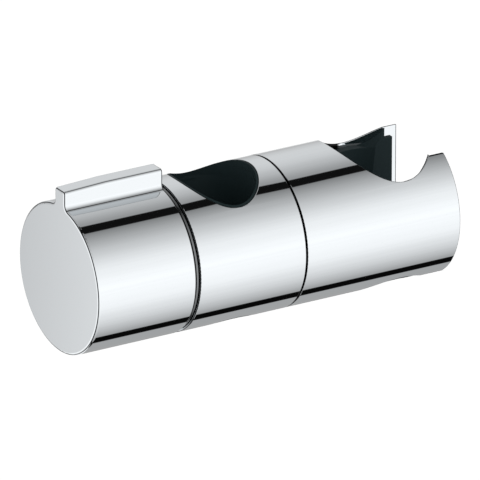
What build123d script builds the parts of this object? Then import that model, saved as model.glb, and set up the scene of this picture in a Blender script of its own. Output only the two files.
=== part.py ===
from build123d import *
import os
from math import cos, degrees, pi, radians, sin, sqrt

# Shower rail slider: clamp knob, body on the rail and swivelling handset cradle.
# The three share one cylinder along X. The origin is the rail hole's centre,
# +X points from the knob to the cradle, +Z runs up the rail and +Y to the wall.

# Outer cylinder and its lengths
outer_r = 22.0
knob_length = 31.8
knob_gap = 1.25
body_wall_left = 5.05
body_wall_right = 5.65
seam_gap = 0.35
cradle_front = 0.35
edge_round = 0.5
face_round = 0.8
body_edge_round = 0.35
window_round = 0.25
cradle_round = 0.2
slot_end_round = 0.45

# Rail and the bush that lines its hole
rail_r = 11.0
rail_clearance = 0.1
bush_wall = 0.9
bush_flare_top = 3.8
bush_flare_bottom = 1.2
bush_lip = 0.6
bush_collar_depth = 2.2
bush_round_half = 7.0
bush_funnel_end = 15.5
bush_ledge = 0.15
bush_sink = 0.05

# Shell walls and clearances
shell_wall = 2.0
knob_face_wall = 2.2
seat_room = 0.1
running_room = 0.06
loose_room = 0.25

# Thumb fin on the knob
fin_height = 5.6
fin_front = 3.4
fin_back = 2.2
fin_top_round = 1.0
fin_foot_round = 1.8
fin_slope = 13.5
fin_drop = 0.55
fin_wall = 1.5

# Journal of the core, on which the knob turns
drum_depth = 6.9
journal_wall = 3.0
shoulder_step = 0.35
bulkhead = 3.2

# Bright ring in the gap between knob and body
gap_ring_thickness = 0.55
gap_ring_sink = 0.6

# Retaining ring and friction ring on the journal
ring_thickness = 1.1
ring_groove_depth = 0.8
ring_reach = 1.4
ring_end_land = 1.5
ring_open_angle = 24.0
friction_ring_wire = 0.9
friction_ring_at = 8.0

# Knob drum
drum_wall = 2.2
drum_flange = 2.6
drum_rib = 1.6
drum_rib_count = 12
drum_overhang = 3.9
cap_room = 0.5

# Cam with two ramps, and the plunger that follows it
cam_plate = 2.5
cam_hub_wall = 4.8
cam_hub_length = 4.0
cam_rise = 2.4
cam_room = 0.1
cam_step_angle = 4.0
cam_steps = 8
clamp_turn = 90.0
cam_screw_count = 3
cam_screw_inset = 3.0

# Screws
screw_shank_r = 1.2
screw_head_r = 2.2
screw_head_height = 1.5
screw_length = 8.0
shoe_screw_length = 5.0
screw_slot = 0.7
screw_slot_depth = 0.6
screw_boss_r = 2.6

# Plunger, spring and brake shoe
plunger_head = 5.5
plunger_flat = 2.4
spring_wire_r = 0.6
spring_room = 0.9
spring_turns = 3.5
shoe_thickness = 2.7
shoe_half_y = 6.0
shoe_half_z = 8.6
pad_thickness = 1.2
shoe_room = 0.3
stem_tip_step = 2.2
stem_tip = 1.2

# Swivel between body and cradle
axle_r = 3.0
axle_head_r = 6.0
axle_head_height = 2.5
axle_head_flat = 5.0
axle_seat_depth = 2.8
axle_tail = 0.9
spigot_length = 3.0
core_right_step = 0.15
washer_thickness = 1.0
washer_margin = 1.4
washer_width = 3.5
hub_thickness = 8.0
hub_bush_wall = 1.6
disc_spring_height = 1.1
disc_spring_thickness = 0.6
disc_spring_r = 7.0
plain_washer_thickness = 1.0
plain_washer_r = 6.6
nut_across_flats = 10.0
nut_height = 4.2
stop_lug_r = 1.6
stop_lug_length = 3.0
stop_inset = 3.7
swivel_stop = 60.0

# Cradle and its liner
holder_wall = 2.7
holder_end_wall = 1.65
sleeve_wall = 1.5
sleeve_room = 2.75
seat_top_r = 14.1
seat_bottom_r = 12.0
liner_wall = 0.9
liner_side = 3.3
liner_foot = 2.2
liner_slot_half = 11.7
liner_slot_wall = 0.7
liner_rim = 12.5
liner_leg_rise = 2.35
liner_leg_room = 0.3
ear_sink = 0.5
ear_from = 1.15
ear_to = 10.8
ear_scoop_r = 11.3
ear_scoop_rise = 0.9
ear_scoop_tilt = 28.0
boss_r = 3.0
boss_length = 2.5

# Radii, from the sizes above
shell_bore_r = outer_r - shell_wall
core_r = shell_bore_r - seat_room
journal_r = core_r - drum_depth
journal_bore_r = journal_r - journal_wall
drum_bore_r = journal_r + ring_reach + 2 * loose_room
rail_bore_r = rail_r + rail_clearance
window_x = rail_bore_r + bush_wall
window_y_top = rail_bore_r + bush_flare_top
window_y_bottom = rail_bore_r + bush_flare_bottom
gap_ring_r = outer_r - gap_ring_sink
cam_hub_r = journal_bore_r - 2 * loose_room
cam_hub_bore_r = cam_hub_r - cam_hub_wall
cam_screw_circle_r = core_r - cam_screw_inset
plunger_r = journal_bore_r - running_room
plunger_stem_r = journal_bore_r - 2 * (spring_wire_r + spring_room)
stem_tip_r = plunger_stem_r - stem_tip_step
plunger_key = plunger_r - plunger_flat
holder_bore_r = outer_r - holder_wall
hub_r = holder_bore_r - seat_room
stop_circle_r = hub_r - stop_inset
washer_r = stop_circle_r - stop_lug_r - washer_margin
spigot_r = washer_r - washer_width - seat_room
hub_bush_r = axle_r + hub_bush_wall
cradle_x = seat_top_r + liner_wall
cradle_y_top = seat_top_r + liner_side
cradle_y_bottom = seat_bottom_r + liner_foot
cradle_slot_half = liner_slot_half + liner_slot_wall

# Places along X, from the sizes above
body_left = -window_x - body_wall_left
body_right = window_x + body_wall_right
knob_end = body_left - knob_gap
knob_face = knob_end - knob_length
core_left = body_left - shoulder_step
core_right = body_right - core_right_step
gap_ring_left = core_left - gap_ring_thickness
drum_right = gap_ring_left - seat_room
cam_plate_left = knob_face + knob_face_wall + cap_room + screw_head_height
drum_left = cam_plate_left + cam_plate
journal_end = drum_left + drum_overhang
ring_left = journal_end + ring_end_land
ring_right = ring_left + ring_thickness
lip_left = ring_right + seat_room
cam_base = drum_left + cam_hub_length
cam_travel = cam_rise * clamp_turn / 180
follower_base = cam_base + cam_travel + cam_room
plunger_left = follower_base + cam_rise
plunger_step = plunger_left + plunger_head
shoe_back = -rail_bore_r - pad_thickness - shoe_thickness
shoe_seat = -rail_bore_r - screw_head_height - loose_room
bulkhead_right = shoe_back - cam_travel - cam_room
bulkhead_left = bulkhead_right - bulkhead
axle_seat = core_right - axle_seat_depth
hub_left = core_right + washer_thickness
hub_right = hub_left + hub_thickness
plain_washer_left = hub_right + disc_spring_height
nut_left = plain_washer_left + plain_washer_thickness
nut_right = nut_left + nut_height
axle_end = nut_right + axle_tail
sleeve_left = axle_end + sleeve_room
boss_left = sleeve_left - boss_length
cradle_centre = sleeve_left + sleeve_wall + cradle_x
holder_start = body_right + seam_gap
holder_end = cradle_centre + cradle_x + cradle_front
end_wall_left = holder_end - holder_end_wall
screw_seat = sleeve_left + sleeve_wall - screw_head_height - seat_room
boss_z = liner_rim - screw_head_r - 2 * seat_room


def x_plane(start, y=0.0, z=0.0):
    """Sketch plane across X, with its own x along Y and its own y along Z."""
    return Plane(origin=(start, y, z), x_dir=(0, 1, 0), z_dir=(1, 0, 0))


def x_rod(radius, start, end, y=0.0, z=0.0):
    """Cylinder along X between two places."""
    return extrude(x_plane(start, y, z) * Circle(radius), amount=end - start)


def x_tube(radius, bore, start, end, y=0.0, z=0.0):
    """Tube along X between two places."""
    return x_rod(radius, start, end, y, z) - x_rod(bore, start, end, y, z)


def block(x_range, y_range, z_range):
    """Box given by its range along each axis."""
    ranges = (x_range, y_range, z_range)
    size = [high - low for low, high in ranges]
    middle = [(high + low) / 2 for low, high in ranges]
    return Pos(*middle) * Box(*size)


def upright(centre, sections):
    """Ruled upright solid through ovals given as height, half X and half Y."""
    faces = [Pos(centre, 0, height) * Ellipse(half_x, half_y) for height, half_x, half_y in sections]
    return loft(faces, ruled=True)


def oval_plug(centre, half_x, y_top, y_bottom, grow=0.0):
    """Tapered plug with oval ends, as tall as the outer cylinder is wide."""
    low = (-outer_r, half_x + grow, y_bottom + grow)
    high = (outer_r, half_x + grow, y_top + grow)
    return upright(centre, [low, high])


def screw(seat, length, y=0.0, z=0.0, way=1):
    """Slotted cheese-head screw on its seat; the shank points along +X or -X."""
    top = seat - way * screw_head_height
    tip = seat + way * length
    head = x_rod(screw_head_r, min(seat, top), max(seat, top), y, z)
    shank = x_rod(screw_shank_r, min(seat, tip), max(seat, tip), y, z)
    floor = top + way * screw_slot_depth
    across = (y - screw_head_r, y + screw_head_r)
    slot = block((min(top, floor), max(top, floor)), across, (z - screw_slot / 2, z + screw_slot / 2))
    return head + shank - slot


def around(count, radius):
    """Y and Z of evenly spaced places on a circle about X, from the top."""
    turns = [pi / 2 + 2 * pi * step / count for step in range(count)]
    return [(radius * cos(turn), radius * sin(turn)) for turn in turns]


def radius_of(point):
    """Distance of a point from the X axis."""
    return sqrt(point.Y**2 + point.Z**2)


def outside_edges(shape, low, high):
    """Edges that lie on the outer cylinder between two places along X."""
    found = []
    for edge in shape.edges():
        points = [edge @ share for share in (0.0, 0.25, 0.5, 0.75, 1.0)]
        outside = all(abs(radius_of(point) - outer_r) < 0.01 for point in points)
        if outside and all(low < point.X < high for point in points):
            found.append(edge)
    return found


def knob_section(drop=0.0):
    """Knob's outline across X: a disc and the thumb fin with its hollow feet."""
    fin_z = outer_r + fin_height - drop
    fin = Pos((fin_back - fin_front) / 2, fin_z / 2) * Rectangle(fin_front + fin_back, fin_z)
    section = Circle(outer_r) + fin
    section = fillet(section.vertices().group_by(Axis.Y)[-1], fin_top_round)
    feet = [
        vertex
        for vertex in section.vertices()
        if vertex.Y > outer_r / 2 and abs(sqrt(vertex.X**2 + vertex.Y**2) - outer_r) < 0.01
    ]
    return fillet(feet, fin_foot_round)


def make_knob_cap():
    """Chrome cap, closed at the face, with the thumb fin along its top."""
    crest = knob_face + fin_slope
    front = loft([x_plane(knob_face) * knob_section(fin_drop), x_plane(crest) * knob_section()], ruled=True)
    cap = front + extrude(x_plane(crest) * knob_section(), amount=knob_end - crest)
    cap = fillet(cap.faces().sort_by(Axis.X)[0].edges(), face_round)
    cap = fillet(cap.faces().sort_by(Axis.X)[-1].edges(), edge_round)
    cap -= x_rod(shell_bore_r, knob_face + knob_face_wall, knob_end)
    hollow_x = (knob_face + knob_face_wall, knob_end - knob_face_wall)
    hollow_y = (fin_wall - fin_front, fin_back - fin_wall)
    return cap - block(hollow_x, hollow_y, (0, outer_r + fin_height - fin_wall))


def make_knob_core():
    """Drum that turns on the journal, with flanges and ribs that carry the cap."""
    barrel_r = drum_bore_r + drum_wall
    drum = x_rod(barrel_r, drum_left, drum_right)
    drum += x_rod(core_r, drum_left, drum_left + drum_flange)
    drum += x_rod(core_r, drum_right - drum_flange, drum_right)
    rib = block((drum_left, drum_right), (-drum_rib / 2, drum_rib / 2), (drum_bore_r, core_r - seat_room))
    for step in range(drum_rib_count):
        drum += Rot(360 * step / drum_rib_count, 0, 0) * rib
    screw_places = around(cam_screw_count, cam_screw_circle_r)
    for y, z in screw_places:
        drum += x_rod(screw_boss_r, drum_left, drum_left + screw_length + screw_boss_r, y, z)
    drum -= x_rod(journal_r + running_room, drum_left, drum_right)
    drum -= x_rod(drum_bore_r, drum_left, lip_left)
    for y, z in screw_places:
        drum -= x_rod(screw_shank_r + running_room, drum_left, drum_left + screw_length + seat_room, y, z)
    return drum


def ramp_section(height, angle, base, rear):
    """Radial section of a ramp between its flat rear and its height at one angle."""
    top = base + height
    turn = radians(angle)
    corners = [(rear, cam_hub_bore_r), (top, cam_hub_bore_r), (top, cam_hub_r), (rear, cam_hub_r)]
    return make_face(Polyline(*[(x, r * cos(turn), r * sin(turn)) for x, r in corners], close=True))


def ramp(first_angle, sweep, base, rear):
    """One helical ramp that rises with the angle."""
    sections = []
    for step in range(cam_steps + 1):
        turned = sweep * step / cam_steps
        sections.append(ramp_section(cam_rise * turned / 180, first_angle + turned, base, rear))
    return loft(sections, ruled=True)


def make_cam_disc():
    """Face cam: a plate on the drum's end and two ramps that push the plunger."""
    disc = x_rod(core_r - seat_room, cam_plate_left, drum_left)
    disc += x_rod(cam_hub_r, drum_left, cam_base)
    disc -= x_rod(cam_hub_bore_r, cam_plate_left, cam_base)
    for first_angle in (-clamp_turn, 180 - clamp_turn):
        disc += ramp(first_angle, 180 - cam_step_angle, cam_base, cam_base - cam_rise)
    for y, z in around(cam_screw_count, cam_screw_circle_r):
        disc -= x_rod(screw_shank_r + seat_room, cam_plate_left, drum_left, y, z)
    return disc


def make_cam_screws():
    """Screws that hold the cam disc to the drum."""
    places = around(cam_screw_count, cam_screw_circle_r)
    return [screw(cam_plate_left, screw_length, y, z) for y, z in places]


def make_retaining_ring():
    """Open snap ring in the journal's groove."""
    reach = journal_r + ring_reach
    ring = x_tube(reach, journal_r - ring_groove_depth + seat_room, ring_left, ring_right)
    half_gap = journal_r * sin(radians(ring_open_angle / 2))
    return ring - block((ring_left, ring_right), (-half_gap, half_gap), (0, reach))


def make_friction_ring():
    """Rubber ring in a groove of the journal, just clear of the drum's bore."""
    centre_r = journal_r + running_room / 2 - friction_ring_wire
    return x_plane(core_left - friction_ring_at) * Torus(centre_r, friction_ring_wire)


def make_plunger():
    """Follower with two ramps, flats that stop it turning, and a stem for the shoe."""
    head = x_rod(plunger_r, plunger_left, plunger_step)
    head -= x_rod(cam_hub_bore_r, plunger_left, plunger_left + cam_rise)
    for first_angle in (0, 180):
        head += ramp(first_angle, 180, follower_base, plunger_left + cam_rise / 2)
    head = head & block((follower_base, plunger_step), (-plunger_r, plunger_r), (-plunger_key, plunger_key))
    tip_end = shoe_back + stem_tip
    stem = x_rod(plunger_stem_r, plunger_step, shoe_back) + x_rod(stem_tip_r, shoe_back, tip_end)
    return head + stem - x_rod(screw_shank_r + running_room, tip_end - shoe_screw_length, tip_end)


def make_return_spring():
    """Coil spring between the plunger's head and the core's bulkhead."""
    start = plunger_step + spring_wire_r + seat_room
    length = bulkhead_left - spring_wire_r - seat_room - start
    coil_r = (plunger_stem_r + journal_bore_r) / 2
    path = Helix(length / spring_turns, length, coil_r, center=(start, 0, 0), direction=(1, 0, 0))
    section = Plane(origin=path @ 0, z_dir=path % 0) * Circle(spring_wire_r)
    return sweep(section, path=path, is_frenet=True)


def shoe_block(left, right):
    """Block as wide and as tall as the shoe."""
    return block((left, right), (-shoe_half_y, shoe_half_y), (-shoe_half_z, shoe_half_z))


def make_brake_shoe():
    """Jaw behind the pad, hollowed to the rail's curve."""
    shoe = shoe_block(shoe_back, -rail_r / 2) - Cylinder(rail_bore_r + pad_thickness, 2 * outer_r)
    shoe -= x_rod(stem_tip_r + seat_room, shoe_back, shoe_back + stem_tip + seat_room)
    shoe -= x_rod(screw_shank_r + seat_room, shoe_back, 0)
    return shoe - x_rod(screw_head_r + seat_room, shoe_seat, 0)


def make_brake_pad():
    """Rubber facing of the jaw, with a hole over the screw's head."""
    pad = Cylinder(rail_bore_r + pad_thickness, 2 * outer_r) - Cylinder(rail_bore_r, 2 * outer_r)
    pad = pad & shoe_block(shoe_back, -rail_r / 2)
    return pad - x_rod(screw_head_r + seat_room, shoe_back, 0)


def make_shoe_screw():
    """Screw through the shoe into the plunger's stem, its head below the pad."""
    return screw(shoe_seat, shoe_seat - shoe_back - stem_tip + shoe_screw_length, way=-1)


def journal_grooves():
    """Grooves for the retaining ring and the friction ring."""
    beyond = journal_r + ring_reach
    groove = x_tube(beyond, journal_r - ring_groove_depth, ring_left - seat_room, ring_right + seat_room)
    at = core_left - friction_ring_at
    half = friction_ring_wire + seat_room
    return groove + x_tube(beyond, journal_r - 2 * friction_ring_wire - seat_room, at - half, at + half)


def plunger_guide():
    """Hole of the journal: round for cam and spring, flat-sided for the plunger."""
    bore = x_rod(journal_bore_r, journal_end, bulkhead_left)
    half = plunger_key + running_room
    span = (-journal_bore_r, journal_bore_r)
    open_part = block((plunger_left, plunger_step), span, (-half, half))
    return bore - (x_rod(journal_bore_r, plunger_left, plunger_step) - open_part)


def shoe_pocket():
    """Room for the shoe in core and bush, from clamped to released."""
    half_y = shoe_half_y + shoe_room
    half_z = shoe_half_z + shoe_room
    return block((bulkhead_right, -rail_r / 2), (-half_y, half_y), (-half_z, half_z))


def core_blank():
    """Core's outside: drum, left journal, right spigot and the stop lug."""
    core = x_rod(core_r, core_left, core_right)
    core += x_rod(journal_r, journal_end, core_left)
    core += x_rod(spigot_r, core_right, core_right + spigot_length)
    return core + x_rod(stop_lug_r, core_right, core_right + stop_lug_length, 0, -stop_circle_r)


def axle_head(start, end, grow=0.0):
    """Round axle head with two flats that stop it turning."""
    reach = axle_head_r + grow
    flat = axle_head_flat + grow
    return x_rod(reach, start, end) & block((start, end), (-reach, reach), (-flat, flat))


def make_body_core():
    """Moulded core that holds the bush, the plunger and the swivel axle."""
    core = core_blank() - journal_grooves() - plunger_guide() - shoe_pocket()
    core -= x_rod(plunger_stem_r + running_room, bulkhead_left, shoe_back + seat_room)
    core -= oval_plug(0, window_x, window_y_top, window_y_bottom, seat_room)
    core -= x_rod(axle_r + seat_room, 0, core_right + spigot_length)
    return core - axle_head(0, axle_seat, seat_room)


def make_body_shell():
    """Chrome sleeve with the two rail windows."""
    shell = x_tube(outer_r, shell_bore_r, body_left, body_right)
    rims = [edge for edge in shell.edges().filter_by(GeomType.CIRCLE) if abs(edge.radius - outer_r) < 0.01]
    shell = fillet(rims, body_edge_round)
    shell -= oval_plug(0, window_x, window_y_top, window_y_bottom)
    return fillet(outside_edges(shell, body_left, body_right), window_round)


def make_rail_bush():
    """Black bush: a tapered plug, round in the middle and flared to both windows."""
    bush = oval_plug(0, window_x, window_y_top, window_y_bottom, -seat_room / 2)
    bush = bush & x_rod(outer_r - bush_sink, body_left, body_right)
    bush -= Cylinder(rail_bore_r, 2 * outer_r)
    bush -= shoe_pocket()
    bush -= bush_collar()
    half_x = window_x - bush_lip - bush_ledge
    top_y = window_y_top - bush_lip - bush_ledge
    bottom_y = window_y_bottom - bush_lip - bush_ledge
    throat = (rail_bore_r, rail_bore_r)
    upper = [(bush_round_half, *throat), (bush_funnel_end, half_x, top_y), (outer_r, half_x, top_y)]
    lower = [(-outer_r, half_x, bottom_y), (-bush_funnel_end, half_x, bottom_y), (-bush_round_half, *throat)]
    return bush - upright(0, upper) - upright(0, lower)


def bush_collar():
    """Shallow recess at both windows, as deep as the shell's wall."""
    rim = oval_plug(0, window_x, window_y_top, window_y_bottom, -bush_lip)
    return rim - x_rod(outer_r - bush_collar_depth, body_left, body_right)


def make_gap_ring():
    """Bright thrust ring between the knob and the body."""
    return x_tube(gap_ring_r, journal_r + seat_room, gap_ring_left, core_left)


def make_swivel_axle():
    """Bolt on which the cradle swivels, with its head behind the bush."""
    return axle_head(axle_seat - axle_head_height, axle_seat) + x_rod(axle_r, axle_seat, axle_end)


def make_thrust_washer():
    """Low-friction washer between the core and the hub."""
    return x_tube(washer_r, spigot_r + seat_room, core_right, hub_left)


def stop_groove():
    """Arc groove in the hub that the core's lug runs in."""
    reach = swivel_stop + degrees(seat_room / stop_circle_r)
    line = CenterArc((0, 0), stop_circle_r, 270 - reach, 2 * reach)
    slot = SlotArc(line, 2 * (stop_lug_r + loose_room))
    return extrude(x_plane(hub_left) * slot, amount=stop_lug_length)


def make_holder_hub():
    """Disc inside the cradle that turns on the axle and carries the cradle."""
    hub = x_rod(hub_r, hub_left, hub_right)
    for z in (-boss_z, boss_z):
        hub += x_rod(boss_r, hub_right, boss_left, 0, z)
        hub -= x_rod(screw_shank_r + running_room, screw_seat - screw_length - seat_room, boss_left, 0, z)
    hub -= x_rod(spigot_r + running_room, hub_left, core_right + spigot_length + loose_room)
    hub -= x_rod(hub_bush_r, hub_left, hub_right)
    return hub - stop_groove()


def make_hub_bush():
    """Bearing bush between the hub and the axle."""
    start = core_right + spigot_length + loose_room
    return x_tube(hub_bush_r, axle_r + running_room, start, hub_right)


def make_disc_spring():
    """Conical spring washer behind the hub."""
    inner = axle_r + loose_room
    rise = disc_spring_height - disc_spring_thickness
    corners = [
        (hub_right + rise, inner),
        (hub_right + disc_spring_height, inner),
        (hub_right + disc_spring_thickness, disc_spring_r),
        (hub_right, disc_spring_r),
    ]
    return revolve(make_face(Polyline(*corners, close=True)), Axis.X)


def make_plain_washer():
    """Flat washer between the disc spring and the nut."""
    return x_tube(plain_washer_r, axle_r + loose_room, plain_washer_left, nut_left)


def make_lock_nut():
    """Hexagon nut that sets the swivel's stiffness."""
    corner_r = nut_across_flats / 2 / cos(pi / 6)
    nut = extrude(x_plane(nut_left) * RegularPolygon(corner_r, 6), amount=nut_height)
    return nut - x_rod(axle_r + running_room, nut_left, nut_right)


def cradle_hole(grow=0.0):
    """Oval tapered hole of the cradle, open to the end through its slot."""
    hole = oval_plug(cradle_centre, cradle_x, cradle_y_top, cradle_y_bottom, grow)
    half = cradle_slot_half + grow
    return hole + block((cradle_centre, holder_end), (-half, half), (-outer_r, outer_r))


def make_holder_shell():
    """Chrome cradle: a cup closed at the right, with a sleeve round its oval hole."""
    cup = x_tube(outer_r, holder_bore_r, holder_start, end_wall_left)
    cup += x_rod(outer_r, end_wall_left, holder_end)
    room = x_rod(holder_bore_r + seat_room, holder_start, end_wall_left + seat_room)
    shell = cup + (cradle_hole(sleeve_wall) & room)
    for z in (-boss_z, boss_z):
        shell += x_rod(boss_r, boss_left, sleeve_left + sleeve_wall, 0, z)
    shell -= cradle_hole()
    for z in (-boss_z, boss_z):
        shell -= x_rod(screw_shank_r + seat_room, boss_left, cradle_centre, 0, z)
        shell -= x_rod(screw_head_r + seat_room, screw_seat, cradle_centre, 0, z)
    slot_ends = shell.edges().filter_by(Axis.Z).group_by(Axis.X)[-1]
    shell = fillet(slot_ends, slot_end_round)
    return fillet(outside_edges(shell, holder_start - 1, holder_end + 1), cradle_round)


def seat_radius(height):
    """Radius of the handset's tapered seat at one height."""
    return seat_bottom_r + (seat_top_r - seat_bottom_r) * (height + outer_r) / (liner_rim + outer_r)


def liner_bore():
    """Tapered seat of the handset cone and the straight way in."""
    sections = [(height, seat_radius(height), seat_radius(height)) for height in (-outer_r, outer_r)]
    way_in = block((cradle_centre, holder_end), (-liner_slot_half, liner_slot_half), (-outer_r, outer_r))
    return upright(cradle_centre, sections) + way_in


def ear_scoop(side):
    """Round scoop that leaves one ear's sloping top: side 1 at the back, -1 in front."""
    low = liner_rim + ear_scoop_rise
    pivot = Pos(cradle_centre, side * (cradle_y_top - ear_scoop_rise), low + ear_scoop_r)
    scoop = pivot * Rot(90 + side * ear_scoop_tilt, 0, 0) * Cylinder(ear_scoop_r, 4 * outer_r)
    half = sorted((0, side * outer_r))
    return scoop & block((holder_start, holder_end), half, (0, 2 * outer_r))


def liner_ears():
    """Two ears of the liner that rise almost to the chrome's rim."""
    span = (cradle_centre + ear_from, cradle_centre + ear_to)
    ears = x_rod(outer_r - ear_sink, *span) & block(span, (-outer_r, outer_r), (0, outer_r))
    return ears - ear_scoop(1) - ear_scoop(-1)


def liner_blank():
    """Liner's outside: a level rim round the seat, two ears and two lower legs."""
    right = end_wall_left - liner_leg_room
    across = (-outer_r, outer_r)
    inside = x_rod(outer_r - ear_sink, holder_start, right)
    bowl = inside & block((holder_start, right), across, (-outer_r, liner_rim))
    legs = inside & block((cradle_centre + ear_to, right), across, (0, liner_rim + liner_leg_rise))
    return cradle_hole(-seat_room) & (bowl + legs + liner_ears())


def make_holder_liner():
    """Black C-shaped liner with two ears that fill the oval window's ends."""
    return liner_blank() - liner_bore()


def make_holder_screws():
    """Two screws from the cradle's hole into the hub's bosses."""
    return [screw(screw_seat, screw_length, 0, z, way=-1) for z in (-boss_z, boss_z)]


nodes = {
    "knob_cap": make_knob_cap,
    "knob_core": make_knob_core,
    "cam_disc": make_cam_disc,
    "cam_screws": make_cam_screws,
    "retaining_ring": make_retaining_ring,
    "friction_ring": make_friction_ring,
    "gap_ring": make_gap_ring,
    "plunger": make_plunger,
    "return_spring": make_return_spring,
    "brake_shoe": make_brake_shoe,
    "brake_pad": make_brake_pad,
    "shoe_screw": make_shoe_screw,
    "body_core": make_body_core,
    "body_shell": make_body_shell,
    "rail_bush": make_rail_bush,
    "swivel_axle": make_swivel_axle,
    "thrust_washer": make_thrust_washer,
    "holder_hub": make_holder_hub,
    "hub_bush": make_hub_bush,
    "disc_spring": make_disc_spring,
    "plain_washer": make_plain_washer,
    "lock_nut": make_lock_nut,
    "holder_shell": make_holder_shell,
    "holder_liner": make_holder_liner,
    "holder_screws": make_holder_screws,
}

os.makedirs("parts", exist_ok=True)
for name, make in nodes.items():
    shape = make()
    if isinstance(shape, list):
        shape = Compound(children=shape)
    export_step(shape, "parts/" + name + ".step")
    print(name, round(shape.volume, 1))
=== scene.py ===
from math import cos, pi, radians, sin

import bpy
from bpy.props import FloatProperty, FloatVectorProperty, PointerProperty
from mathutils import Matrix, Vector


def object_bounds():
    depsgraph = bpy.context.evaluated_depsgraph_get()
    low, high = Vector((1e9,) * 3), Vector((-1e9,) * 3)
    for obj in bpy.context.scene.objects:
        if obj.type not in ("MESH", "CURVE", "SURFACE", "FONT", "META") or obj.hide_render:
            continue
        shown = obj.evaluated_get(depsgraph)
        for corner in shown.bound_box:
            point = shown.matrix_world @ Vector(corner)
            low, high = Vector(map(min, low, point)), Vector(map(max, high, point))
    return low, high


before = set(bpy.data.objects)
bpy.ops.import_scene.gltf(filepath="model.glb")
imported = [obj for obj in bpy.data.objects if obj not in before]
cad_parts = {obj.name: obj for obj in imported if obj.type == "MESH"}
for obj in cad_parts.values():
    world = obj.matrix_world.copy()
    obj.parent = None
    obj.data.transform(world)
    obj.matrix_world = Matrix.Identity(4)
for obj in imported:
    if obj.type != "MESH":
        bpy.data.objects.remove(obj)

bl_info = {
    "name": "Shower rail slider",
    "version": (1, 0, 0),
    "blender": (4, 5, 0),
    "location": "3D View > Sidebar > Slider",
    "description": "Finishes the clamp slider of a shower rail and sets up its studio",
    "category": "Object",
}

CAD_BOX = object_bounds()

# The studio's soft walls, as angles round the slider's long axis in degrees: 0 is
# behind it, 90 straight up, 180 in front and 270 straight down. Each wall has its
# start, its end, where it is brightest, the grey there, and the grey that it loses
# 10 degrees away from there, which grows with the square of the distance. An angle
# past 360 has gone once round. The walls are fitted to how bright the plating
# is in the photograph, and their light is read from an angle inside the lower flag.
LOW_WALL = (282, 327, 305, 0.63, 0.0)
BACK_STRIP = (327, 353, 341, 0.89, 0.13)
BACK_WALL = (353, 441, 390, 0.82, 0.0089)
FRONT_WALL = (458, 628, 548, 1.0, 0.0062)
STUDIO_WALLS = (LOW_WALL, BACK_STRIP, BACK_WALL, FRONT_WALL)
WALL_STEPS = 6
WALLS_START = 275

# Two black flags beside the front wall: start, end and grey. Their edges are soft
# over this many degrees each way.
STUDIO_FLAGS = [(84.5, 97.7, 0.06), (267.9, 282.3, 0.03)]
FLAG_EDGE = 0.8

# Streaks in the walls: how many along and round the studio, how fine and how strong.
STREAK_RATE = (1.4, 110.0)
STREAK_DETAIL = 3.0
STREAK_DEPTH = 0.09

# The share of the studio's light that the plating gives back.
PLATING_SHINE = 0.94

# The lit wall at each end of the studio: how far along the long axis a direction
# points where it starts and where it is full, and its grey.
END_WALL = (0.80, 0.97, 0.80)

# Thin dark lines painted into the plating's colour where a rounded edge turns towards one
# end, as painted shade and painted reflection: how far the surface faces that end where a line
# starts and where it stops.
# NO_LINE lies beyond what any surface or distance here reaches.
RIGHT_LINE = (0.10, 0.90)
FACE_LINE = (0.64, 0.88)
SEAM_LINE = (0.40, 0.95)
NO_LINE = (2.0, 3.0)
LINE_EDGE = 0.05
# LINE_SHADE is the share of the plating's colour left in these painted shade lines.
LINE_SHADE = 0.01

# The dark outline painted as shade on the body's and the cradle's rims, as distances from the long
# axis in metres: it starts clear of the flats that the round's facets leave.
RIM_LINE = (0.02178, 0.021962)
RIM_EDGE = 0.000015

# The dark line painted as shade on the round beside the cradle's slot, as distances in metres: from
# the middle of the slot, along the slider where it starts, and from the long axis.
SLOT_LINE = (0.0124, 0.01300)
SLOT_LINE_START = 0.0634
SLOT_LINE_ROUND = 0.02195
SLOT_LINE_EDGE = 0.00004

# Behind and below, a painted shade line that turns left runs on to the edge of the flat: the side
# where it does, how far the surface faces that side there, and how much it gains.
LINE_LEAN = (0.902, -0.432)
LEAN_START = (0.03, 0.10)
LEAN_GAIN = 0.09

# The panel that the knob's face mirrors: its direction, its grey in the middle, how
# fast that falls towards the back, and its reach from the middle in degrees. Towards
# the front it has a bright rim, given as two angles from the middle and a grey, which
# starts as far to the front as PANEL_FRONT says. PANEL_EDGE softens both, as a cosine,
# and PAST_MIDDLE is more than any cosine.
PANEL = Vector((-0.479, 0.792, -0.379)).normalized()
PANEL_GREY = 0.815
PANEL_SLOPE = 1.5
PANEL_SIZE = 14
PANEL_RIM = (7, 57, 0.975)
PANEL_FRONT = (0.03, 0.12)
PANEL_EDGE = 0.004
PAST_MIDDLE = 2.0
SCREEN_GAMMA = 2.2

# Depths of the fine relief on moulded and turned pieces, and the turning's pitch.
GRAIN_DEPTH = 0.000004
RUBBER_GRAIN_DEPTH = 0.000008
TURNING_DEPTH = 0.000003
TURNING_PITCH = 0.00022

# How coarse the soft patches in the mould's grain are, as a share of its scale.
GRAIN_PATCHES = 0.03

# Colours of the pieces inside.
CORE_COLOUR = (0.05, 0.052, 0.055)
CAM_COLOUR = (0.82, 0.81, 0.76)
RUBBER_COLOUR = (0.02, 0.02, 0.022)
STEEL_COLOUR = (0.62, 0.62, 0.63)
BRASS_COLOUR = (0.72, 0.55, 0.27)

# The floor, half as wide as this many metres. It adds its glow to its lit colour
# before the camera, so that it shows plain white there.
FLOOR_HALF = 3.0
FLOOR_GREY = 0.9
FLOOR_ROUGHNESS = 0.8
FLOOR_GLOW = 0.585

# The camera's sensor in millimetres, and how far it sees in metres.
SENSOR_WIDTH = 36.0
FARTHEST_VIEW = 20.0

# The steps in which shader nodes are laid out on their sheet.
COLUMN_WIDTH = 200
ROW_HEIGHT = 180


def straight(level):
    """Linear brightness of a grey as the screen shows it."""
    return ((level + 0.055) / 1.055) ** 2.4


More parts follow.
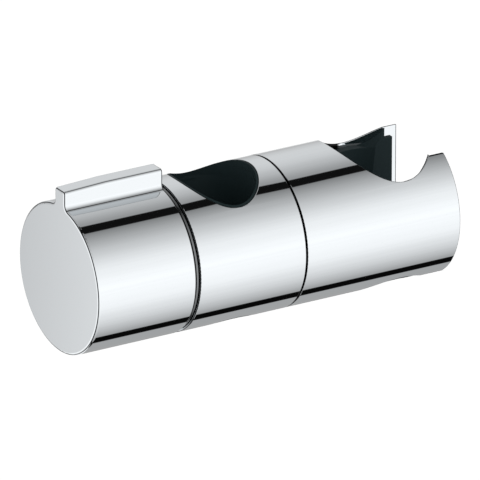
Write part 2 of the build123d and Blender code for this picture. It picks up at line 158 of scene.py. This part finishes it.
class SliderChrome(bpy.types.PropertyGroup):
    """Plating of the knob, the body and the cradle"""

    colour: FloatVectorProperty(
        name="Colour",
        description="Colour of the plating",
        subtype="COLOR",
        default=(0.905, 0.94, 0.965),
        min=0.0,
        max=1.0,
    )
    roughness: FloatProperty(
        name="Roughness",
        description="How far the plating blurs what it reflects",
        subtype="FACTOR",
        default=0.035,
        min=0.0,
        max=1.0,
    )
    film_size: FloatProperty(
        name="Film size",
        description="Size of the faint patches in the plating",
        unit="LENGTH",
        default=0.006,
        min=0.0005,
    )
    crown_radius: FloatProperty(
        name="Crown radius",
        description="Radius of the faint crown on the knob's face",
        unit="LENGTH",
        default=0.9,
        min=0.05,
    )


class SliderPlastic(bpy.types.PropertyGroup):
    """Black and pale mouldings"""

    black: FloatVectorProperty(
        name="Black",
        description="Colour of the rail bush and the cradle's liner",
        subtype="COLOR",
        default=(0.021, 0.035, 0.038),
        min=0.0,
        max=1.0,
    )
    black_roughness: FloatProperty(
        name="Black roughness",
        description="Roughness of the black mouldings",
        subtype="FACTOR",
        default=0.5,
        min=0.0,
        max=1.0,
    )
    grain_size: FloatProperty(
        name="Grain size",
        description="Size of the mould's grain",
        unit="LENGTH",
        default=0.00018,
        min=0.00001,
    )


class SliderStudio(bpy.types.PropertyGroup):
    """Camera, floor and light"""

    azimuth: FloatProperty(
        name="Azimuth",
        description="Camera's angle round the slider, from straight in front",
        subtype="ANGLE",
        default=radians(-31.17),
    )
    elevation: FloatProperty(
        name="Elevation",
        description="Camera's angle above the slider",
        subtype="ANGLE",
        default=radians(22.27),
    )
    roll: FloatProperty(
        name="Roll",
        description="Camera's tilt about its line of sight",
        subtype="ANGLE",
        default=radians(-0.14),
    )
    distance: FloatProperty(
        name="Distance",
        description="From the camera to its target",
        unit="LENGTH",
        default=3.967,
        min=0.1,
    )
    lens: FloatProperty(
        name="Lens",
        description="Focal length in millimetres on a 36 mm sensor",
        default=1058.9,
        min=10.0,
    )
    target: FloatVectorProperty(
        name="Target",
        description="Point in the middle of the picture",
        subtype="TRANSLATION",
        unit="LENGTH",
        default=(0.00883, -0.00029, -0.00061),
    )
    floor_drop: FloatProperty(
        name="Floor drop",
        description="From the slider's lowest point to the floor",
        unit="LENGTH",
        default=0.1,
        min=0.0,
    )


def new_material(name):
    """Material with an empty Principled shader; gives the material, its tree and the shader."""
    material = bpy.data.materials.new(name)
    material.use_nodes = True
    tree = material.node_tree
    return material, tree, tree.nodes["Principled BSDF"]


def lay_out(tree):
    """Sets shader nodes out in columns, each to the left of the nodes that it feeds."""
    columns = {node.name: 0 for node in tree.nodes}
    for _ in tree.nodes:
        for link in tree.links:
            feeder, fed = link.from_node.name, link.to_node.name
            columns[feeder] = max(columns[feeder], columns[fed] + 1)
    rows = {}
    for node in tree.nodes:
        column = columns[node.name]
        row = rows.get(column, 0)
        rows[column] = row + 1
        node.location = (-column * COLUMN_WIDTH, -row * ROW_HEIGHT)


def feed(tree, socket, value):
    """Gives a socket a number, or links another socket to it."""
    if isinstance(value, (int, float)):
        socket.default_value = value
    else:
        tree.links.new(value, socket)


def coordinates(tree, output):
    """X, Y and Z sockets of one of the texture coordinates."""
    places = tree.nodes.new("ShaderNodeTexCoord")
    split = tree.nodes.new("ShaderNodeSeparateXYZ")
    tree.links.new(places.outputs[output], split.inputs[0])
    return split.outputs


def new_group(name, inputs, outputs):
    """Empty shader node group with named number inputs and outputs."""
    tree = bpy.data.node_groups.new(name, "ShaderNodeTree")
    for socket, default in inputs:
        made = tree.interface.new_socket(socket, in_out="INPUT", socket_type="NodeSocketFloat")
        made.default_value = default
    for socket in outputs:
        tree.interface.new_socket(socket, in_out="OUTPUT", socket_type="NodeSocketFloat")
    inlet = tree.nodes.new("NodeGroupInput")
    outlet = tree.nodes.new("NodeGroupOutput")
    return tree, inlet, outlet


def sum_node(tree, operation, first, second, clamp=False):
    """Math node between two sockets or numbers; gives its output socket."""
    node = tree.nodes.new("ShaderNodeMath")
    node.operation = operation
    node.use_clamp = clamp
    for socket, value in zip(node.inputs, (first, second)):
        if value is not None:
            feed(tree, socket, value)
    return node.outputs[0]


def noise_node(tree, scale, detail=2.0, roughness=0.5):
    """Noise in the piece's own metres; gives its factor from about 0 to 1."""
    places = tree.nodes.new("ShaderNodeTexCoord")
    noise = tree.nodes.new("ShaderNodeTexNoise")
    noise.inputs["Detail"].default_value = detail
    noise.inputs["Roughness"].default_value = roughness
    tree.links.new(places.outputs["Object"], noise.inputs["Vector"])
    feed(tree, noise.inputs["Scale"], scale)
    return noise.outputs["Fac"]


def blend_node(tree, value, start, end, low=0.0, high=1.0, smooth=True):
    """Passes from one level to another while a value passes from a start to an end."""
    node = tree.nodes.new("ShaderNodeMapRange")
    node.interpolation_type = "SMOOTHSTEP" if smooth else "LINEAR"
    levels = {"Value": value, "From Min": start, "From Max": end, "To Min": low, "To Max": high}
    for socket, level in levels.items():
        feed(tree, node.inputs[socket], level)
    return node.outputs[0]


def band_mask(tree, value, start, end, edge):
    """1 where a value lies between two limits and 0 outside, with soft edges."""
    limits = []
    for limit in (start, end):
        for side in (-edge, edge):
            number = isinstance(limit, (int, float))
            limits.append(limit + side if number else sum_node(tree, "ADD", limit, side))
    rise = blend_node(tree, value, *limits[:2])
    fall = blend_node(tree, value, *limits[2:], low=1.0, high=0.0)
    return sum_node(tree, "MULTIPLY", rise, fall)


def axis_distance(tree, squared=False):
    """Distance from the slider's long axis, or its square, in the piece's own metres."""
    spot = coordinates(tree, "Object")
    across = sum_node(tree, "MULTIPLY", spot["Y"], spot["Y"])
    upward = sum_node(tree, "MULTIPLY", spot["Z"], spot["Z"])
    squares = sum_node(tree, "ADD", across, upward)
    return squares if squared else sum_node(tree, "SQRT", squares, None)


def build_film_group():
    """Plating film: roughness that drifts a little in soft patches."""
    tree, inlet, outlet = new_group(
        "plating_film",
        [("Patch Size", 0.006), ("Roughness", 0.035), ("Spread", 0.02)],
        ["Roughness"],
    )
    scale = sum_node(tree, "DIVIDE", 1.0, inlet.outputs["Patch Size"])
    patches = noise_node(tree, scale, 3.0)
    drift = sum_node(tree, "SUBTRACT", patches, 0.5)
    spread = sum_node(tree, "MULTIPLY", drift, inlet.outputs["Spread"])
    rough = sum_node(tree, "ADD", inlet.outputs["Roughness"], spread, clamp=True)
    tree.links.new(rough, outlet.inputs["Roughness"])
    lay_out(tree)
    return tree


def build_crown_group():
    """Faint crown: height that falls as on a ball, by the square over twice its radius."""
    tree, inlet, outlet = new_group("plating_crown", [("Radius", 0.9)], ["Height"])
    squares = axis_distance(tree, squared=True)
    fall = sum_node(tree, "DIVIDE", squares, inlet.outputs["Radius"])
    tree.links.new(sum_node(tree, "MULTIPLY", fall, -0.5), outlet.inputs["Height"])
    lay_out(tree)
    return tree


def left_line_end(tree, facing, end):
    """Where a line that turns left ends: further out behind and below."""
    backward = sum_node(tree, "MULTIPLY", facing["Y"], LINE_LEAN[0])
    upward = sum_node(tree, "MULTIPLY", facing["Z"], LINE_LEAN[1])
    lean = sum_node(tree, "ADD", backward, upward)
    gain = blend_node(tree, lean, *LEAN_START, high=LEAN_GAIN, smooth=False)
    return sum_node(tree, "ADD", end, gain)


def slot_line(tree, away, start, end):
    """1 on the outside of the round beside the cradle's slot, where a dark line is painted as shade.
    """
    spot = coordinates(tree, "Object")
    aside = sum_node(tree, "ABSOLUTE", spot["Y"], None)
    mask = band_mask(tree, aside, start, end, SLOT_LINE_EDGE)
    beside = sum_node(tree, "GREATER_THAN", spot["X"], SLOT_LINE_START)
    outside = sum_node(tree, "GREATER_THAN", away, SLOT_LINE_ROUND)
    return sum_node(tree, "MULTIPLY", mask, sum_node(tree, "MULTIPLY", beside, outside))


def build_painted_shade_group():
    """Mask of the dark lines painted as shade on the plating: 1 on edges that turn to one end, on
    rims and beside the slot.
    """
    inputs = []
    for line in ("Right", "Left", "Rim", "Slot"):
        inputs += [(line + " Start", NO_LINE[0]), (line + " End", NO_LINE[1])]
    tree, inlet, outlet = new_group("painted_edge_shade", inputs, ["Mask"])
    limits = inlet.outputs
    facing = coordinates(tree, "Normal")
    leftward = sum_node(tree, "MULTIPLY", facing["X"], -1.0)
    left_end = left_line_end(tree, facing, limits["Left End"])
    right = band_mask(tree, facing["X"], limits["Right Start"], limits["Right End"], LINE_EDGE)
    left = band_mask(tree, leftward, limits["Left Start"], left_end, LINE_EDGE)
    away = axis_distance(tree)
    rim = band_mask(tree, away, limits["Rim Start"], limits["Rim End"], RIM_EDGE)
    slot = slot_line(tree, away, limits["Slot Start"], limits["Slot End"])
    ends = sum_node(tree, "MAXIMUM", right, left)
    lines = sum_node(tree, "MAXIMUM", rim, slot)
    tree.links.new(sum_node(tree, "MAXIMUM", ends, lines), outlet.inputs["Mask"])
    lay_out(tree)
    return tree


def build_grain_group():
    """Mould grain: fine height, and a roughness that follows it."""
    tree, inlet, outlet = new_group(
        "mould_grain",
        [("Grain Size", 0.0002), ("Roughness", 0.4), ("Spread", 0.12)],
        ["Height", "Roughness"],
    )
    scale = sum_node(tree, "DIVIDE", 1.0, inlet.outputs["Grain Size"])
    grain = noise_node(tree, scale, 2.0, 0.6)
    tree.links.new(grain, outlet.inputs["Height"])
    broad = noise_node(tree, sum_node(tree, "MULTIPLY", scale, GRAIN_PATCHES), 3.0)
    drift = sum_node(tree, "SUBTRACT", broad, 0.5)
    spread = sum_node(tree, "MULTIPLY", drift, inlet.outputs["Spread"])
    rough = sum_node(tree, "ADD", inlet.outputs["Roughness"], spread, clamp=True)
    tree.links.new(rough, outlet.inputs["Roughness"])
    lay_out(tree)
    return tree


def build_turning_group():
    """Turning marks: fine rings about the slider's long axis."""
    tree, inlet, outlet = new_group(
        "turning_marks",
        [("Pitch", 0.0002), ("Roughness", 0.3), ("Spread", 0.1)],
        ["Height", "Roughness"],
    )
    along = sum_node(tree, "ADD", axis_distance(tree), coordinates(tree, "Object")["X"])
    turns = sum_node(tree, "DIVIDE", along, inlet.outputs["Pitch"])
    wave = sum_node(tree, "SINE", sum_node(tree, "MULTIPLY", turns, 2 * pi), None)
    tree.links.new(wave, outlet.inputs["Height"])
    spread = sum_node(tree, "MULTIPLY", wave, inlet.outputs["Spread"])
    rough = sum_node(tree, "ADD", inlet.outputs["Roughness"], spread, clamp=True)
    tree.links.new(rough, outlet.inputs["Roughness"])
    lay_out(tree)
    return tree


def group_node(tree, group, values):
    """Places a shared group in a material with its own values."""
    node = tree.nodes.new("ShaderNodeGroup")
    node.node_tree = bpy.data.node_groups[group]
    for socket, value in values.items():
        node.inputs[socket].default_value = value
    return node


def bump_node(tree, shader, height, depth):
    """Bump of a real depth in metres under a shader's normal."""
    bump = tree.nodes.new("ShaderNodeBump")
    bump.inputs["Distance"].default_value = depth
    bump.inputs["Strength"].default_value = 1.0
    tree.links.new(height, bump.inputs["Height"])
    tree.links.new(bump.outputs["Normal"], shader.inputs["Normal"])


def chrome_material(name, lines, painted_darkening=1.0, extra_roughness=0.0):
    """Mirror plating with a faint drift in its roughness and dark lines painted on its edges as
    painted shade; a share below 1 dims all of it as painted shade.
    """
    finish = bpy.context.scene.slider_chrome
    material, tree, shader = new_material(name)
    values = {}
    for line, band in {"Right": RIGHT_LINE, **lines}.items():
        values[line + " Start"], values[line + " End"] = band
    edges = group_node(tree, "painted_edge_shade", values)
    shade = tree.nodes.new("ShaderNodeMix")
    shade.data_type = "RGBA"
    # A colour mix has its two colours at inputs 6 and 7, and its result at output 2. The second is
    # the plating darkened to a hundredth: painted shade where the mask is 1.
    for socket, share in ((6, painted_darkening), (7, painted_darkening * LINE_SHADE)):
        shade.inputs[socket].default_value = (*[part * share for part in finish.colour], 1.0)
    tree.links.new(edges.outputs["Mask"], shade.inputs[0])
    tree.links.new(shade.outputs[2], shader.inputs["Base Color"])
    shader.inputs["Metallic"].default_value = 1.0
    rough = finish.roughness + extra_roughness
    values = {"Patch Size": finish.film_size, "Roughness": rough, "Spread": 0.02}
    film = group_node(tree, "plating_film", values)
    tree.links.new(film.outputs["Roughness"], shader.inputs["Roughness"])
    crown = group_node(tree, "plating_crown", {"Radius": finish.crown_radius})
    bump_node(tree, shader, crown.outputs["Height"], 1.0)
    lay_out(tree)
    return material


def moulded_material(name, colour, roughness, depth=GRAIN_DEPTH, gloss=0.5):
    """Moulded plastic or rubber with the mould's fine grain."""
    finish = bpy.context.scene.slider_plastic
    material, tree, shader = new_material(name)
    shader.inputs["Base Color"].default_value = (*colour, 1.0)
    shader.inputs["Specular IOR Level"].default_value = gloss
    values = {"Grain Size": finish.grain_size, "Roughness": roughness, "Spread": 0.1}
    grain = group_node(tree, "mould_grain", values)
    tree.links.new(grain.outputs["Roughness"], shader.inputs["Roughness"])
    bump_node(tree, shader, grain.outputs["Height"], depth)
    lay_out(tree)
    return material


def turned_material(name, colour, roughness):
    """Turned or drawn metal with fine rings about the long axis."""
    material, tree, shader = new_material(name)
    shader.inputs["Base Color"].default_value = (*colour, 1.0)
    shader.inputs["Metallic"].default_value = 1.0
    values = {"Pitch": TURNING_PITCH, "Roughness": roughness, "Spread": 0.05}
    marks = group_node(tree, "turning_marks", values)
    tree.links.new(marks.outputs["Roughness"], shader.inputs["Roughness"])
    bump_node(tree, shader, marks.outputs["Height"], TURNING_DEPTH)
    lay_out(tree)
    return material


def finish_node(name, material):
    """Gives a frame node its material."""
    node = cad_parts[name]
    if not node.material_slots:
        node.data.materials.append(material)
    for slot in node.material_slots:
        slot.link = "OBJECT"
        slot.material = material


class SLIDER_OT_finish_groups(bpy.types.Operator):
    """Build the shader groups that the materials share"""

    bl_idname = "slider.finish_groups"
    bl_label = "Shared finishes"

    def execute(self, context):
        build_film_group()
        build_crown_group()
        build_painted_shade_group()
        build_grain_group()
        build_turning_group()
        return {"FINISHED"}


class SLIDER_OT_chrome_pieces(bpy.types.Operator):
    """Plate the knob, the body and the cradle"""

    bl_idname = "slider.chrome_pieces"
    bl_label = "Chrome pieces"

    def execute(self, context):
        # Which dark lines, painted as shade, each piece's plating gets.
        knob_lines = {"Left": FACE_LINE}
        body_lines = {"Left": SEAM_LINE, "Rim": RIM_LINE}
        holder_lines = {"Rim": RIM_LINE, "Slot": SLOT_LINE}
        ring_lines = {"Right": NO_LINE}
        # The gap ring's plating is dimmed to about a quarter: painted shade of its groove.
        ring = chrome_material("ring_chrome", ring_lines, painted_darkening=0.26, extra_roughness=0.16)
        finish_node("knob_cap", chrome_material("chrome_knob", knob_lines))
        finish_node("body_shell", chrome_material("chrome_body", body_lines))
        finish_node("holder_shell", chrome_material("chrome_holder", holder_lines))
        finish_node("gap_ring", ring)
        return {"FINISHED"}


class SLIDER_OT_black_pieces(bpy.types.Operator):
    """Finish the rail bush and the cradle's liner"""

    bl_idname = "slider.black_pieces"
    bl_label = "Black pieces"

    def execute(self, context):
        plastic = context.scene.slider_plastic
        black = moulded_material("black_plastic", plastic.black, plastic.black_roughness, gloss=0.07)
        finish_node("rail_bush", black)
        finish_node("holder_liner", black)
        return {"FINISHED"}


class SLIDER_OT_clamp_pieces(bpy.types.Operator):
    """Finish the clamp's pieces inside the knob and the body"""

    bl_idname = "slider.clamp_pieces"
    bl_label = "Clamp pieces"

    def execute(self, context):
        core = moulded_material("core_plastic", CORE_COLOUR, 0.5)
        cam = moulded_material("cam_plastic", CAM_COLOUR, 0.38)
        rubber = moulded_material("seal_rubber", RUBBER_COLOUR, 0.7, RUBBER_GRAIN_DEPTH)
        steel = turned_material("steel", STEEL_COLOUR, 0.28)
        for name in ("knob_core", "brake_shoe", "body_core"):
            finish_node(name, core)
        for name in ("cam_disc", "plunger"):
            finish_node(name, cam)
        for name in ("friction_ring", "brake_pad"):
            finish_node(name, rubber)
        for name in ("cam_screws", "retaining_ring", "return_spring", "shoe_screw"):
            finish_node(name, steel)
        return {"FINISHED"}


class SLIDER_OT_swivel_pieces(bpy.types.Operator):
    """Finish the swivel's pieces inside the cradle"""

    bl_idname = "slider.swivel_pieces"
    bl_label = "Swivel pieces"

    def execute(self, context):
        steel = bpy.data.materials["steel"]
        for name in ("swivel_axle", "disc_spring", "plain_washer", "lock_nut", "holder_screws"):
            finish_node(name, steel)
        finish_node("thrust_washer", bpy.data.materials["cam_plastic"])
        finish_node("holder_hub", bpy.data.materials["core_plastic"])
        finish_node("hub_bush", turned_material("brass", BRASS_COLOUR, 0.25))
        return {"FINISHED"}


def studio_angle(tree):
    """A direction's angle round the long axis as a share of a turn, and its way along."""
    facing = coordinates(tree, "Generated")
    angle = sum_node(tree, "ARCTAN2", facing["Z"], facing["Y"])
    share = sum_node(tree, "DIVIDE", angle, 2 * pi)
    return sum_node(tree, "FRACT", sum_node(tree, "ADD", share, 1.0), None), facing["X"]


def angle_mask(tree, share, start, end):
    """1 between two angles round the long axis and 0 beside them."""
    return band_mask(tree, share, start / 360, end / 360, FLAG_EDGE / 360)


def mix_numbers(tree, factor, first, second):
    """Blend of two numbers by a mask."""
    mix = tree.nodes.new("ShaderNodeMix")
    for socket, value in ((0, factor), (2, first), (3, second)):
        feed(tree, mix.inputs[socket], value)
    return mix.outputs[0]


def wall_stops():
    """Angles from WALLS_START and greys along the soft walls, in even steps on each."""
    for start, end, middle, bright, loss in STUDIO_WALLS:
        for step in range(WALL_STEPS + 1):
            angle = start + (end - start) * step / WALL_STEPS
            yield angle - WALLS_START, bright - loss * ((angle - middle) / 10) ** 2


def wall_light(tree, share):
    """Brightness of the soft walls and the two flags by their angle."""
    ramp = tree.nodes.new("ShaderNodeValToRGB")
    ramp.color_ramp.interpolation = "LINEAR"
    stops = ramp.color_ramp.elements
    for index, (angle, level) in enumerate(wall_stops()):
        stop = stops[index] if index < 2 else stops.new(angle / 360)
        stop.position = angle / 360
        stop.color = (*[straight(level)] * 3, 1.0)
    turned = sum_node(tree, "ADD", share, 1 - WALLS_START / 360)
    tree.links.new(sum_node(tree, "FRACT", turned, None), ramp.inputs[0])
    level = tree.nodes.new("ShaderNodeRGBToBW")
    tree.links.new(ramp.outputs[0], level.inputs[0])
    light = level.outputs[0]
    for start, end, grey in STUDIO_FLAGS:
        light = mix_numbers(tree, angle_mask(tree, share, start, end), light, straight(grey))
    return light


def wall_streaks(tree, share, along):
    """Faint streaks that run along the walls, round 1."""
    spot = tree.nodes.new("ShaderNodeCombineXYZ")
    tree.links.new(sum_node(tree, "MULTIPLY", along, STREAK_RATE[0]), spot.inputs["X"])
    tree.links.new(sum_node(tree, "MULTIPLY", share, STREAK_RATE[1]), spot.inputs["Y"])
    noise = tree.nodes.new("ShaderNodeTexNoise")
    noise.inputs["Scale"].default_value = 1.0
    noise.inputs["Detail"].default_value = STREAK_DETAIL
    tree.links.new(spot.outputs[0], noise.inputs["Vector"])
    drift = sum_node(tree, "SUBTRACT", noise.outputs["Fac"], 0.5)
    drift = sum_node(tree, "MULTIPLY", drift, STREAK_DEPTH)
    return sum_node(tree, "ADD", drift, 1.0)


def end_walls(tree, light, along):
    """Blends the walls into the plain lit wall at each end."""
    reach = sum_node(tree, "ABSOLUTE", along, None)
    ends = blend_node(tree, reach, *END_WALL[:2])
    return mix_numbers(tree, ends, light, straight(END_WALL[2]))


def ring_mask(tree, near, inner, outer):
    """1 between two angles from a direction, whose cosine is given, and 0 beside them."""
    return band_mask(tree, near, cos(radians(outer)), cos(radians(inner)), PANEL_EDGE)


def face_panel(tree, light):
    """Adds the panel that the knob's face mirrors, with its bright rim."""
    places = tree.nodes.new("ShaderNodeTexCoord")
    facing = tree.nodes.new("ShaderNodeVectorMath")
    facing.operation = "DOT_PRODUCT"
    tree.links.new(places.outputs["Generated"], facing.inputs[0])
    facing.inputs[1].default_value = PANEL
    near = facing.outputs["Value"]
    forward = sum_node(tree, "SUBTRACT", PANEL.y, coordinates(tree, "Generated")["Y"])
    front = blend_node(tree, forward, *PANEL_FRONT)
    slope = sum_node(tree, "MULTIPLY", forward, PANEL_SLOPE)
    level = sum_node(tree, "ADD", slope, PANEL_GREY, clamp=True)
    middle = band_mask(tree, near, cos(radians(PANEL_SIZE)), PAST_MIDDLE, PANEL_EDGE)
    light = mix_numbers(tree, middle, light, sum_node(tree, "POWER", level, SCREEN_GAMMA))
    rim_mask = sum_node(tree, "MULTIPLY", ring_mask(tree, near, *PANEL_RIM[:2]), front)
    return mix_numbers(tree, rim_mask, light, straight(PANEL_RIM[2]))


def make_world():
    """Studio of soft walls, flags and a panel; only the camera sees plain white there."""
    world = bpy.data.worlds.new("studio")
    bpy.context.scene.world = world
    world.use_nodes = True
    tree = world.node_tree
    tree.nodes.clear()
    share, along = studio_angle(tree)
    light = sum_node(tree, "MULTIPLY", wall_light(tree, share), wall_streaks(tree, share, along))
    light = end_walls(tree, light, along)
    light = face_panel(tree, light)
    light = sum_node(tree, "DIVIDE", light, PLATING_SHINE)
    rays = tree.nodes.new("ShaderNodeLightPath")
    light = mix_numbers(tree, rays.outputs["Is Camera Ray"], light, 1.0)
    background = tree.nodes.new("ShaderNodeBackground")
    background.inputs["Color"].default_value = (1.0, 1.0, 1.0, 1.0)
    tree.links.new(light, background.inputs["Strength"])
    output = tree.nodes.new("ShaderNodeOutputWorld")
    tree.links.new(background.outputs[0], output.inputs["Surface"])
    lay_out(tree)


def make_floor(studio):
    """Pale lit floor below the slider, which its glow lifts to white before the camera."""
    low = CAD_BOX[0][2] - studio.floor_drop
    sides = [(-1, -1), (1, -1), (1, 1), (-1, 1)]
    corners = [(x * FLOOR_HALF, y * FLOOR_HALF, low) for x, y in sides]
    mesh = bpy.data.meshes.new("floor")
    mesh.from_pydata(corners, [], [(0, 1, 2, 3)])
    floor = bpy.data.objects.new("floor", mesh)
    bpy.context.scene.collection.objects.link(floor)
    material, tree, shader = new_material("floor_white")
    shader.inputs["Base Color"].default_value = (FLOOR_GREY, FLOOR_GREY, FLOOR_GREY, 1.0)
    shader.inputs["Roughness"].default_value = FLOOR_ROUGHNESS
    glow = tree.nodes.new("ShaderNodeEmission")
    rays = tree.nodes.new("ShaderNodeLightPath")
    strength = sum_node(tree, "MULTIPLY", rays.outputs["Is Camera Ray"], FLOOR_GLOW)
    tree.links.new(strength, glow.inputs["Strength"])
    both = tree.nodes.new("ShaderNodeAddShader")
    tree.links.new(shader.outputs[0], both.inputs[0])
    tree.links.new(glow.outputs[0], both.inputs[1])
    tree.links.new(both.outputs[0], tree.nodes["Material Output"].inputs["Surface"])
    lay_out(tree)
    mesh.materials.append(material)
    floor.visible_glossy = False


def make_camera(studio):
    """Camera at the photograph's angle, far off with a long lens."""
    camera = bpy.data.objects.new("camera", bpy.data.cameras.new("camera"))
    bpy.context.scene.collection.objects.link(camera)
    bpy.context.scene.camera = camera
    turn, rise = studio.azimuth, studio.elevation
    back = Vector((sin(turn) * cos(rise), -cos(turn) * cos(rise), sin(rise)))
    facing = back.to_track_quat("Z", "Y").to_matrix().to_4x4()
    tilt = Matrix.Rotation(-studio.roll, 4, "Z")
    stand = Matrix.Translation(Vector(studio.target) + back * studio.distance)
    camera.matrix_world = stand @ facing @ tilt
    camera.data.lens = studio.lens
    camera.data.sensor_width = SENSOR_WIDTH
    camera.data.clip_end = FARTHEST_VIEW


class SLIDER_OT_stage(bpy.types.Operator):
    """Set up the floor, the studio's light and the camera"""

    bl_idname = "slider.stage"
    bl_label = "Stage"

    def execute(self, context):
        studio = context.scene.slider_studio
        make_floor(studio)
        make_world()
        make_camera(studio)
        context.scene.view_settings.view_transform = "Standard"
        return {"FINISHED"}


class SLIDER_PT_panel(bpy.types.Panel):
    """Lists the slider's steps"""

    bl_idname = "SLIDER_PT_panel"
    bl_label = "Slider"
    bl_space_type = "VIEW_3D"
    bl_region_type = "UI"
    bl_category = "Slider"

    def draw(self, context):
        for step in STEPS:
            self.layout.operator(step.bl_idname)
        for name in ("slider_chrome", "slider_plastic", "slider_studio"):
            settings = getattr(context.scene, name)
            for prop in settings.bl_rna.properties:
                if prop.identifier not in ("rna_type", "name"):
                    self.layout.prop(settings, prop.identifier)


SETTINGS = {
    "slider_chrome": SliderChrome,
    "slider_plastic": SliderPlastic,
    "slider_studio": SliderStudio,
}
STEPS = (
    SLIDER_OT_finish_groups,
    SLIDER_OT_chrome_pieces,
    SLIDER_OT_black_pieces,
    SLIDER_OT_clamp_pieces,
    SLIDER_OT_swivel_pieces,
    SLIDER_OT_stage,
)


def register():
    for name, settings in SETTINGS.items():
        bpy.utils.register_class(settings)
        setattr(bpy.types.Scene, name, PointerProperty(type=settings))
    for step in STEPS:
        bpy.utils.register_class(step)
    bpy.utils.register_class(SLIDER_PT_panel)


def unregister():
    bpy.utils.unregister_class(SLIDER_PT_panel)
    for step in reversed(STEPS):
        bpy.utils.unregister_class(step)
    for name, settings in SETTINGS.items():
        delattr(bpy.types.Scene, name)
        bpy.utils.unregister_class(settings)


def main():
    register()
    bpy.ops.slider.finish_groups()
    bpy.ops.slider.chrome_pieces()
    bpy.ops.slider.black_pieces()
    bpy.ops.slider.clamp_pieces()
    bpy.ops.slider.swivel_pieces()
    bpy.ops.slider.stage()


if __name__ == "__main__":
    main()
